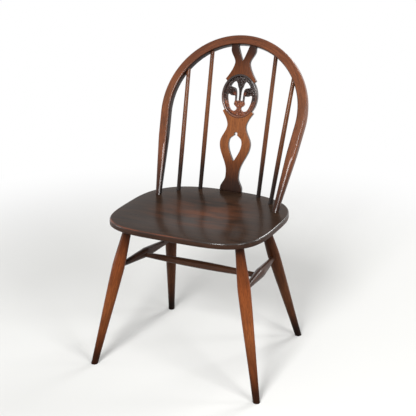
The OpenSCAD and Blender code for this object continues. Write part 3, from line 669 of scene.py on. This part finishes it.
bowPath = [(ring, -run) for ring, run in reversed(bowFootRings(1))]
for k in range(1, bow["archSteps"]):
    share = k / bow["archSteps"]
    angle = -footAngle + (pi + 2 * footAngle) * share
    ring = [Vector(((bowRadius + p.x) * cos(angle), (bowRadius + p.x) * sin(angle) + rise, p.y))
            for p in bowSection()]
    bowPath.append((ring, archLength * (share - 0.5)))
bowPath += bowFootRings(-1)
bowShape = loft([ring for ring, run in bowPath])
bowGrain = bowShape.verts.layers.float_vector.new("grain")
bowInnerShade = bowShape.verts.layers.float.new("paintedShadeAndToner")
bowOrder = bowShape.verts.layers.int["order"]
section = bowSection()
bowShape.verts.ensure_lookup_table()
for i, v in enumerate(bowShape.verts):
    p = section[v[bowOrder]]
    v[bowGrain] = Vector((p.x, p.y, bowPath[i // len(section)][1] + bow["grainStart"]))
    # painted shade on the inner face of the bow
    v[bowInnerShade] = clamped((-p.x - bow["innerFace"]) / bow["innerFade"])
bowShape.transform(inBow)
sawPairLevel(bowShape, seatBottom - bow["proud"])

# The bent bow: reddish brown with the toner left dark towards its feet, and painted shade on its inner
# face
bowFinish = stainedHardwood(
    "bentBowSatinVarnish", "#985C39", "#6A402A",
    ((0.43, 0.88), [(0.0, "#544C4A"), (0.1, "#8A807A"), (0.3, "#E8DED8"), (0.6, "#FFFFFF"),
                    (0.8, "#ECE2DC"), (1.0, "#D8CCC6")]),
    streak=2, patch=0.3, gloss=0.24, coat=0.4, shine=0.04, paintedShadeAndToner="#5E5652")
makePiece("bentBow", bowShape, [bowFinish], ["bow"], crease=50)
print("bow bent")

sticks = {
    "outerFoot": 0.1485, "outerReach": 0.133, "outerTop": 0.168, "outerSeed": 2,
    "innerFoot": 0.0945, "innerReach": 0.1715, "innerTop": 0.101, "innerSeed": 4, "middleSeed": 6,
    "swell": 0.0136, "foot": 0.0124, "top": 0.0122, "swellShare": 0.36, "intoSeat": 0.0145,
    "insideBow": 0.8,  # the part of the bow's face that a stick's straight top lies in
    "curve": 1, "steps": 14, "sides": 28, "grainShift": (0.19, 0.37, 0.59),
}


# The point on the bow's middle line this far across
def bowPoint(x):
    up = rise + sqrt(bowRadius ** 2 - x ** 2)
    return Vector((x, shared["bowFootReach"] + up * sin(lean) + backShift,
                   seatHeight + up * cos(lean)))


def turnedStick(name, node, foot, top, seed):
    length = (top - foot).length
    swell = (sticks["swell"], sticks["swellShare"] * length)
    straight = length - sticks["insideBow"] * shared["bowFace"] - sticks["top"]
    profile = [(0, -sticks["intoSeat"]), (sticks["foot"] / 2, -sticks["intoSeat"]),
               (sticks["foot"] / 2, shoulder)]
    profile += taper((sticks["foot"], shoulder), swell, sticks["curve"], sticks["steps"])
    profile += taper(swell, (sticks["top"], straight), sticks["curve"], sticks["steps"])
    profile += [(sticks["top"] / 2, length - endGap), (0, length - endGap)]
    bm = turn(profile, sticks["sides"])
    markGrain(bm, seed, sticks["grainShift"])
    bm.transform(facing(foot, top - foot))
    makePiece(name, bm, [stickFinish], [node])


# Sticks, toned dark at both ends
stickFinish = stainedHardwood(
    "tonedStickSatinVarnish", "#98603B", "#6A402B",
    ((0.441, 0.86), [(0.0, "#343030"), (0.15, "#4C4644"), (0.36, "#DCD4CE"), (0.7, "#FFFFFF"),
                     (1.0, "#A09690")]), streak=1.8, patch=0.3, gloss=0.26, coat=0.3, shine=0.03)
for sideName, side in bothSides:
    for place in ("outer", "inner"):
        foot = Vector((side * sticks[place + "Foot"], sticks[place + "Reach"], seatHeight)) + moved
        turnedStick("stick" + sideName.title() + place.title(), "stick_" + sideName + "_" + place,
                    foot, bowPoint(side * sticks[place + "Top"]),
                    side * sticks[place + "Seed"] + sticks["middleSeed"])
print("sticks turned")

# The splat in its own flat plane: x across, y up from the seat. A pair is a width and its height, the
# lower neck also has half its straight run, the oval and the drop a width with their length or ends.
splat = {
    "reach": 0.1855, "thickness": 0.011, "forward": 0.002,
    "foot": (0.070, 0.008), "lowerNeck": (0.0415, 0.056, 0.011), "belly": (0.0975, 0.143),
    "upperNeck": (0.0595, 0.197), "nubs": (0.0985, 0.2365), "oval": (0.1135, 0.130, 0.2838),
    "shoulders": (0.0975, 0.3315), "waist": (0.047, 0.381), "horns": (0.078, 0.419),
    "notch": (0.036, 0.388), "drop": (0.042, 0.0925, 0.1775),
    # the drop's side, in shares of half its width and of its height
    "dropShape": ((0.28, 0.1), (0.58, 0.24), (0.88, 0.42), (1, 0.6), (0.86, 0.76), (0.4, 0.86),
                  (0.2, 0.9), (0.24, 0.96)),
    "nubFlare": 1.6, "shoulderFlare": 1.5, "notchFlare": 1.5, "notchHollow": 0.85,
    "offSeat": 0.0006, "intoBow": 0.004,
    "tuck": 0.007,  # how far the edges beside the ring run in under it
    "beadWidth": 0.006, "beadHeight": 0.0016, "beadMargin": 0.001,
    "lipDrop": 0.0004, "lipWidth": 0.0005, "lipRise": 0.00005,  # from the band's outside to its bead
    "innerLipWidth": 0.0002, "innerLipDrop": 0.0006, "bandSink": 0.0005,  # and from there to its inside
    "carvingDepth": 0.003, "carvingLap": 0.003, "carvingEdge": 0.0007,
    "petalHeight": 0.0016, "spearHeight": 0.0022, "petalRoot": 0.001, "petalEdge": 0.0009,
    "veinWidth": 0.0022, "veinDepth": 0.0013, "onCut": 1e-7, "onVein": 1e-5,
    "softEdge": 0.0012, "sawnBelow": 0.8,  # faces turned from the front more than this are sawn edges
    "tenonThickness": 0.007, "footTenon": (0.048, -0.012, 0.003), "hornTenon": (0.012, -0.012, 0.009),
    "steps": 18, "notchSteps": 16, "ovalSides": 96, "ringSides": 120, "beadSteps": 12,
    "boardStart": 2,
}
innerRadius = bowRadius - shared["bowFace"] / 2
splatRise = (rise + innerRadius) * cos(lean)
splatRun = (shared["bowFootReach"] + (rise + innerRadius) * sin(lean)
            - splat["forward"] - splat["reach"])
splatLean = atan(splatRun / splatRise)
splatTop = sqrt(splatRise ** 2 + splatRun ** 2)
inSplat = Matrix.Translation((0, splat["reach"] + backShift, seatHeight)) @ Matrix.Rotation(
    pi / 2 - splatLean, 4, "X")


# Points on the right-hand edge from one (width, height) to another, eased or flaring out to a tip
def edgeRun(start, end, flare=0):
    run = []
    for k in range(splat["steps"] + 1):
        share = k / splat["steps"]
        bent = eased(share)
        if flare:
            bent = share ** flare if end[0] > start[0] else 1 - (1 - share) ** flare
        run.append((between(start[0], end[0], bent) / 2, between(start[1], end[1], share)))
    return run


def otherSide(points):
    return [(-x, y) for x, y in points]


def mirrored(points):
    return otherSide(reversed(points))


# A smooth closed curve through the points
def smoothLoop(points, steps=6):
    out, n = [], len(points)
    for i in range(n):
        a, b, c, d = (Vector(points[(i + j) % n]) for j in (-1, 0, 1, 2))
        for k in range(steps):
            t = k / steps
            out.append((2 * b + (c - a) * t + (2 * a - 5 * b + 4 * c - d) * t * t
                        + (3 * b - a - 3 * c + d) * t ** 3) / 2)
    return [(p.x, p.y) for p in out]


# A flat board cut to outlines, its edges rounded, between two heights
def sawnBoard(outlines, low, high, edge):
    curve = bpy.data.curves.new("outline", "CURVE")
    curve.dimensions = "2D"
    curve.fill_mode = "BOTH"
    curve.extrude = (high - low) / 2 - edge
    curve.bevel_depth = edge
    curve.bevel_resolution = 3
    curve.offset = -edge
    for points in outlines:
        spline = curve.splines.new("POLY")
        spline.points.add(len(points) - 1)
        spline.use_cyclic_u = True
        for held, (x, y) in zip(spline.points, points):
            held.co = (x, y, 0, 1)
    drawn = addObject("outline", curve)
    bpy.context.view_layer.update()
    mesh = bpy.data.meshes.new_from_object(drawn.evaluated_get(bpy.context.evaluated_depsgraph_get()))
    bpy.data.objects.remove(drawn)
    bpy.data.curves.remove(curve)
    mesh.transform(Matrix.Translation((0, 0, (low + high) / 2)))
    return mesh


ovalWidth, ovalLength, ovalHeight = splat["oval"]


# The oval this far in from its edge
def ovalLoop(inset, sides=splat["ovalSides"]):
    return [((ovalWidth / 2 - inset) * cos(2 * pi * i / sides),
             ovalHeight + (ovalLength / 2 - inset) * sin(2 * pi * i / sides)) for i in range(sides)]


# The oval's right-hand side this far in, between the angles of two heights, without their own points
def ovalRun(inset, low, high, sides=24):
    halfLength = ovalLength / 2 - inset
    start, end = (asin(max(-1, min(1, (y - ovalHeight) / halfLength))) for y in (low, high))
    return [((ovalWidth / 2 - inset) * cos(between(start, end, k / sides)),
             ovalHeight + halfLength * sin(between(start, end, k / sides))) for k in range(1, sides)]


softEdge, tuck = splat["softEdge"], splat["tuck"]
half = splat["thickness"] / 2
ground = half - splat["carvingDepth"]
underRing = splat["beadMargin"] + splat["beadWidth"] / 2
neckWidth, neckUp, neckRun = splat["lowerNeck"]
nubWidth, nubUp = splat["nubs"]
lowerSide = [(splat["foot"][0] / 2, splat["offSeat"])]
lowerSide += edgeRun(splat["foot"], (neckWidth, neckUp - neckRun))
lowerSide += edgeRun((neckWidth, neckUp), splat["belly"])
lowerSide += edgeRun(splat["belly"], splat["upperNeck"])[1:]
lowerSide += edgeRun(splat["upperNeck"], splat["nubs"], splat["nubFlare"])[1:]
lowerSide += [(nubWidth / 2 - tuck, nubUp + tuck)]
lowerSide += ovalRun(underRing, nubUp + tuck, 0)
lowerOutline = lowerSide + [(0, ovalHeight - ovalLength / 2 + underRing)] + mirrored(lowerSide)

shoulderWidth, shoulderUp = splat["shoulders"]
notchWidth, notchUp = splat["notch"]
hornTop = splatTop + splat["intoBow"]
upperSide = ovalRun(underRing, 1, shoulderUp - tuck)
upperSide += [(shoulderWidth / 2 - tuck, shoulderUp - tuck)]
upperSide += edgeRun(splat["shoulders"], splat["waist"], splat["shoulderFlare"])
upperSide += edgeRun(splat["waist"], splat["horns"])[1:]
upperSide += [(splat["horns"][0] / 2, hornTop), (notchWidth / 2, hornTop)]
for k in range(splat["notchSteps"], 0, -1):
    share = (k / splat["notchSteps"]) ** splat["notchFlare"]
    upperSide.append((notchWidth / 2 * share ** splat["notchHollow"],
                      notchUp + (splatTop - notchUp) * share))
upperOutline = ([(0, ovalHeight + ovalLength / 2 - underRing)] + upperSide + [(0, notchUp)]
                + mirrored(upperSide))

dropWidth, dropLow, dropHigh = splat["drop"]
dropSide = [(x * dropWidth / 2, between(dropLow, dropHigh, y)) for x, y in splat["dropShape"]]
dropLoop = smoothLoop([(0, dropLow)] + dropSide + [(0, dropHigh)] + mirrored(dropSide))

# The thistle's openings and raised parts, in mm from the oval's centre
thistle = {
    "upperOpening": (
        (15.5, 43), (10.5, 37), (8, 28.5), (4.5, 21), (2.5, 9), (2.2, -3), (2.2, -12), (9.5, -12.5),
        (10.5, -3), (11, 8), (13, 18), (16.5, 23), (24, 25.5), (31, 28), (28, 34), (23, 40)),
    "lowerOpening": (
        (15, 0.5), (14.4, -5), (14.3, -13), (16, -19.5), (16.5, -24), (13, -28.5), (7.5, -33),
        (7, -38.5), (12, -43), (18.5, -44), (26.5, -40), (32.5, -29.5), (37, -15.5), (39, -4),
        (38.5, 3), (33, 4), (27, 1), (20, 0.5)),
    "petal": ((13.5, 4), (12.6, 12), (14.5, 19), (19, 22.5), (27, 23.5), (35, 24), (38, 17), (37.5, 9),
              (32, 7.5), (26, 4), (20, 3)),
    "spear": ((0, 50), (6, 45), (7.5, 37), (5.2, 27), (2.6, 20), (1.4, 8), (1.4, -10)),
    "base": ((13, -14), (14.6, -22), (6.6, -31), (6, -38), (9, -45), (0, -52)),
    "petalVeins": (((17, 8), (33, 20)), ((16, 13), (26, 21.5)), ((23, 7), (36, 13))),
    "spearVein": (((0, -10), (0, 40)),),
    "rubbedTip": (15.5, 7),
}


def onOval(points):
    return [(x * mm, ovalHeight + y * mm) for x, y in points]


# Cuts veins as V grooves into the top of a petal or the spear, and marks them darker: toner held in the
# grooves and painted shade
def carveVeins(mesh, veins, side, top):
    lines = [[Vector((side * x, y, 0)) for x, y in onOval(line)] for line in veins]
    bm = bmesh.new()
    bm.from_mesh(mesh)
    bmesh.ops.remove_doubles(bm, verts=bm.verts, dist=samePoint)
    for start, end in lines:
        across = (end - start).cross(Vector((0, 0, 1))).normalized()
        for shift in (-0.5, 0, 0.5):
            bmesh.ops.bisect_plane(bm, geom=bm.verts[:] + bm.edges[:] + bm.faces[:], dist=splat["onCut"],
                                   plane_co=start + across * shift * splat["veinWidth"], plane_no=across)
    paintedShadeAndToner = bm.verts.layers.float.new("paintedShadeAndToner")
    for start, end in lines:
        across = (end - start).cross(Vector((0, 0, 1))).normalized()
        for v in bm.verts:
            if abs((v.co - start).dot(across)) < splat["onVein"]:
                v.co.z = min(v.co.z, top - splat["veinDepth"])
                v[paintedShadeAndToner] = 1
    bm.to_mesh(mesh)
    bm.free()
    return mesh


openings = []
for openingName in ("upperOpening", "lowerOpening"):
    opening = smoothLoop(onOval(thistle[openingName]))
    openings += [opening, otherSide(opening)]
inset = splat["beadWidth"] + 2 * splat["beadMargin"]

# Each board with the number of its finish: the splat itself in two parts, then the carving
boards = [
    (sawnBoard([lowerOutline, dropLoop], -half, half, softEdge), 0),
    (sawnBoard([upperOutline], -half, half, softEdge), 0),
    (sawnBoard([ovalLoop(inset - splat["carvingLap"])] + openings, -half, ground,
               splat["carvingEdge"]), 1),
]
root = ground - splat["petalRoot"]
petalTop = ground + splat["petalHeight"]
spearTop = ground + splat["spearHeight"]
petal = smoothLoop(onOval(thistle["petal"]), 4)
spear = onOval(thistle["spear"])
base = onOval(thistle["base"])
for side, outline in ((1, petal), (-1, otherSide(petal))):
    board = sawnBoard([outline], root, petalTop, splat["petalEdge"])
    boards.append((carveVeins(board, thistle["petalVeins"], side, petalTop), 1))
board = sawnBoard([spear + mirrored(spear[1:])], root, spearTop, splat["petalEdge"])
boards += [(carveVeins(board, thistle["spearVein"], 1, spearTop), 1),
           (sawnBoard([base + mirrored(base[:-1])], root, petalTop, splat["petalEdge"]), 1)]

splatShape = bmesh.new()


# Adds a mesh to the splat, all in one of its finishes
def addToSplat(mesh, finishNumber):
    for polygon in mesh.polygons:
        polygon.material_index = finishNumber
    splatShape.from_mesh(mesh)
    bpy.data.meshes.remove(mesh)


for board, finishNumber in boards:
    addToSplat(board, finishNumber)
bmesh.ops.remove_doubles(splatShape, verts=splatShape.verts, dist=samePoint)
hornMiddle = (splat["horns"][0] + notchWidth) / 4
for middle, up, (width, low, high) in (
        (0, 0, splat["footTenon"]), (hornMiddle, splatTop, splat["hornTenon"]),
        (-hornMiddle, splatTop, splat["hornTenon"])):
    tenon = bmesh.ops.create_cube(splatShape, size=1)["verts"]
    bmesh.ops.scale(splatShape, vec=(width, high - low, splat["tenonThickness"]), verts=tenon)
    bmesh.ops.translate(splatShape, vec=(middle, up + (low + high) / 2, 0), verts=tenon)

# The ring round the carving: a round bead on a band that stands out past the board's edge. Each line
# round it has its distance in from the oval's edge, its height, and how much toner and painted shade
# darken it.
beadHalf = splat["beadWidth"] / 2
bandLines = [(softEdge, -half, 0), (0, -half + softEdge, 0), (0, half - splat["lipDrop"], 0.7),
             (splat["lipWidth"], half + splat["lipRise"], 1)]
for k in range(splat["beadSteps"] + 1):
    angle = pi * k / splat["beadSteps"]
    fromFoot = min(k, splat["beadSteps"] - k)
    bandLines.append((underRing - beadHalf * cos(angle), half + splat["beadHeight"] * sin(angle),
                      max(0, 1 - fromFoot / 2)))
bandLines += [(inset - splat["innerLipWidth"], half - splat["innerLipDrop"], 1),
              (inset, ground - splat["bandSink"], 1), (inset, -half + softEdge, 0.6),
              (inset - softEdge, -half, 0)]
ringSides = splat["ringSides"]
bandShape = loft([[(x, y, z) for x, y in ovalLoop(depth, ringSides)] for depth, z, held in bandLines],
                 joined=True)
bandShadeAndToner = bandShape.verts.layers.float.new("paintedShadeAndToner")
bandShape.verts.ensure_lookup_table()
for i, v in enumerate(bandShape.verts):
    v[bandShadeAndToner] = bandLines[i // ringSides][2]
bandMesh = bpy.data.meshes.new("band")
bandShape.to_mesh(bandMesh)
bandShape.free()
addToSplat(bandMesh, 2)

boardGrain = splatShape.verts.layers.float_vector.new("grain")
for v in splatShape.verts:
    v[boardGrain] = Vector((v.co.x + splat["boardStart"], v.co.z, v.co.y))
splatShape.normal_update()
# sawn edges get their own finish: more stain, and painted shade
for face in splatShape.faces:
    if face.material_index == 0 and abs(face.normal.z) < splat["sawnBelow"]:
        face.material_index = 3
splatShape.transform(inSplat)

# The splat: bright brown in the middle, toned dark at its foot and its horns
splatFinish = stainedHardwood(
    "sawnSplatSatinVarnish", "#A86638", "#7E4A2C",
    ((0.441, 0.87), [(0.0, "#464244"), (0.07, "#585252"), (0.2, "#B8ACA4"), (0.34, "#FFFFFF"),
                     (0.55, "#FFFFFF"), (0.66, "#D0C6C2"), (0.84, "#B4A8A4"), (0.93, "#6C6260"),
                     (1.0, "#484240")]), streak=2, coat=0.1, shine=0.12)
# The carving: brown below and nearly black above, punched all over, so that it glints in flecks. Its
# colour darkens in the punch marks and veins: painted shade, with toner held there
carvingFinish = stainedHardwood(
    "carvedFlowerDarkToner", "#A85E34", "#82462A",
    ((0.66, 0.80), [(0.0, "#F4ECE6"), (0.29, "#FFFFFF"), (0.35, "#6C6260"), (0.6, "#565050"),
                    (1.0, "#5A5656")]),
    streak=2, patch=0.3, gloss=0.2, coat=0.25, shine=0.2, punched=1.0, paintedShadeAndToner="#3E3838",
    rubbed=("#8A4C36", inSplat @ Vector((*onOval([thistle["rubbedTip"]])[0], ground))))
# The ring: glossy on its bead and black in the grooves beside it, from toner there and painted shade
ringFinish = stainedHardwood(
    "carvedRingDarkToner", "#925636", "#6C4028",
    ((0.65, 0.79), [(0.0, "#F0E4DC"), (0.3, "#DCCCC0"), (0.52, "#807470"), (0.7, "#605A5A"),
                    (1.0, "#5A5454")]),
    streak=2, patch=0.3, gloss=0.18, coat=0.75, shine=0.25, paintedShadeAndToner="#2C2626")
# The sawn edges of the board, which take more stain and glint; their darker colour is partly painted
# shade
sawnEdgeStainAndShadeFinish = stainedHardwood(
    "sawnEdgeTonerAndPaintedShade", "#5E3C2A", "#402A20",
    ((0.441, 0.87), [(0.0, "#504A4A"), (0.2, "#C8C0BC"), (0.34, "#FFFFFF"), (0.8, "#E0D8D4"),
                     (1.0, "#605856")]), streak=2, gloss=0.22, coat=0.6)
makePiece("piercedSplat", splatShape, [splatFinish, carvingFinish, ringFinish, sawnEdgeStainAndShadeFinish],
          ["splat"], crease=40)
print("splat sawn and carved")

# Bare wedges: the legs have theirs hidden in the joints, and the bow's show under the seat
wedges = {
    "thick": 0.003, "tip": 0.001, "bowLength": 0.018, "bowWidth": 0.017,
    "proud": 0.0002,  # the wedges show a hair below the bow's feet
    "pale": "#D2AA7C", "dark": "#B08458", "fibres": (900, 900, 60),
}
# Bare split wood, pale and dull, with fine fibres
wedgeWood = bpy.data.materials.new("bareWedgeWood")
wedgeWood.use_nodes = True
wedgeTree = wedgeWood.node_tree
fibres = woodPattern(wedgeTree, addNode(wedgeTree, "TexCoord").outputs["Object"],
                     wedges["fibres"], 3.0)
wedgeColour = addNode(wedgeTree, "ValToRGB", {0: fibres}, [
    (0.3, stainColour(wedges["dark"])), (0.7, stainColour(wedges["pale"]))])
wedgeShader = wedgeTree.nodes["Principled BSDF"]
wedgeTree.links.new(wedgeColour.outputs[0], wedgeShader.inputs["Base Color"])
wedgeShader.inputs["Roughness"].default_value = 0.6
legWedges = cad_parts["leg_wedges"].data
legWedges.materials.clear()
legWedges.materials.append(wedgeWood)

wedgeShape = bmesh.new()
wedgeLow = -shared["seatThickness"] / cos(lean) / cos(footAngle) - footRound
wedgeHigh = wedgeLow + footRound + wedges["bowLength"]
for side in (-1, 1):
    inFoot = (inBow @ Matrix.Translation((0, rise, 0)) @ Matrix.Rotation(-side * footAngle, 4, "Z")
              @ Matrix.Translation((side * bowRadius, -footLength, 0)))
    for v in bmesh.ops.create_cube(wedgeShape, size=1)["verts"]:
        thick, height = (wedges["thick"], wedgeLow) if v.co.y < 0 else (wedges["tip"], wedgeHigh)
        v.co = inFoot @ Vector((v.co.x * thick, height, v.co.z * wedges["bowWidth"]))
sawPairLevel(wedgeShape, seatBottom - wedges["proud"])
makePiece("bowFootWedges", wedgeShape, [wedgeWood], ["bow_wedges"])
print("wedges finished")
